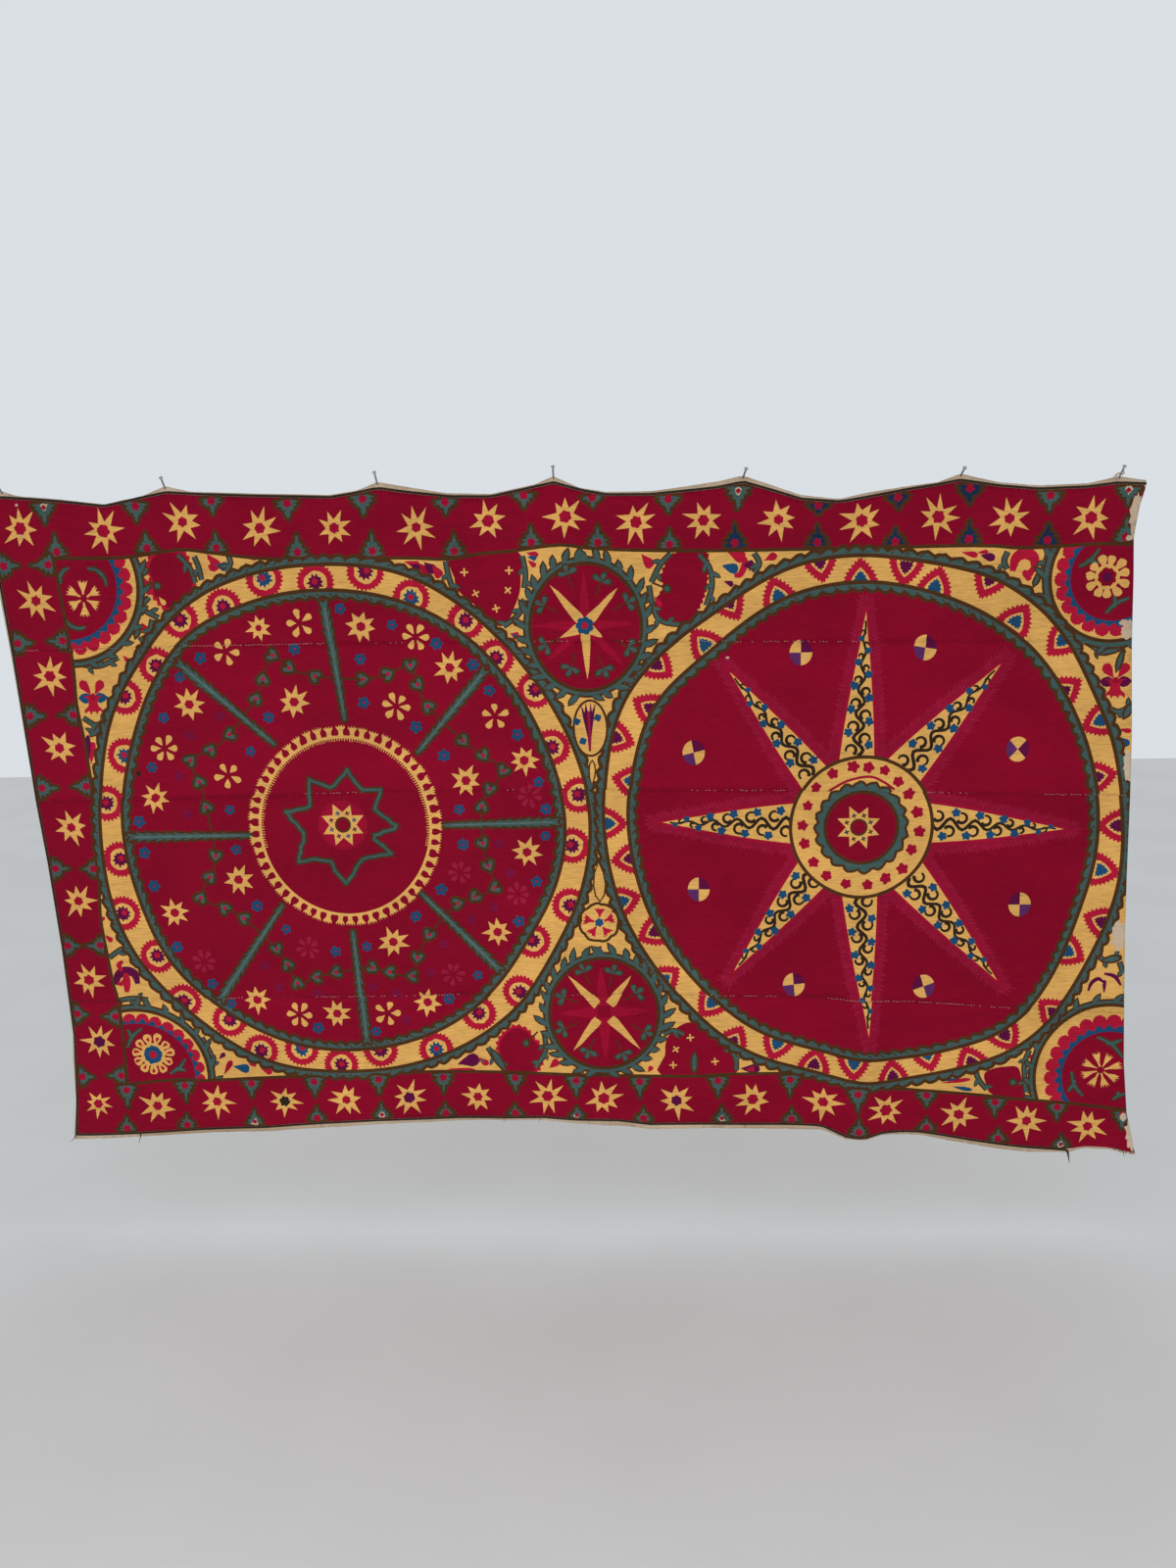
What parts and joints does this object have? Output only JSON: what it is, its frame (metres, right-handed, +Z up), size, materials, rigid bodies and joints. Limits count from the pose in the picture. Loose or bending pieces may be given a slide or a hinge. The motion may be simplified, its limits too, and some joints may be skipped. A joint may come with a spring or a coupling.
{
  "type": "suzani embroidered textile with hanging pins",
  "caption": "Wide embroidered cotton wall textile of sewn strips with a plain lining and braid edging, hung by its top edge on slanting steel pins.",
  "frame": {"origin": "on the hanging line at the middle of the cloth's width, in the plane in which the face cloth lies at the pins", "axes": "+X along the cloth's width, to the right as seen from the front; the face looks along -Y; +Z up"},
  "size_m": [2.4893, 0.0403, 1.5565],
  "materials": {
    "embroidered_cotton": "dense silk stitching on cotton",
    "raw_cotton": "plain weave, matt",
    "brown_braid": "narrow woven braid",
    "pin_steel": "dull bright steel"
  },
  "bodies": {
    "root": {"strip_1": "embroidered_cotton", "strip_2": "embroidered_cotton", "strip_3": "embroidered_cotton", "strip_4": "embroidered_cotton", "lining": "raw_cotton", "edging": "brown_braid", "pin_1": "pin_steel", "pin_2": "pin_steel", "pin_3": "pin_steel", "pin_4": "pin_steel", "pin_5": "pin_steel", "pin_6": "pin_steel", "pin_7": "pin_steel"}
  },
  "joints": []
}
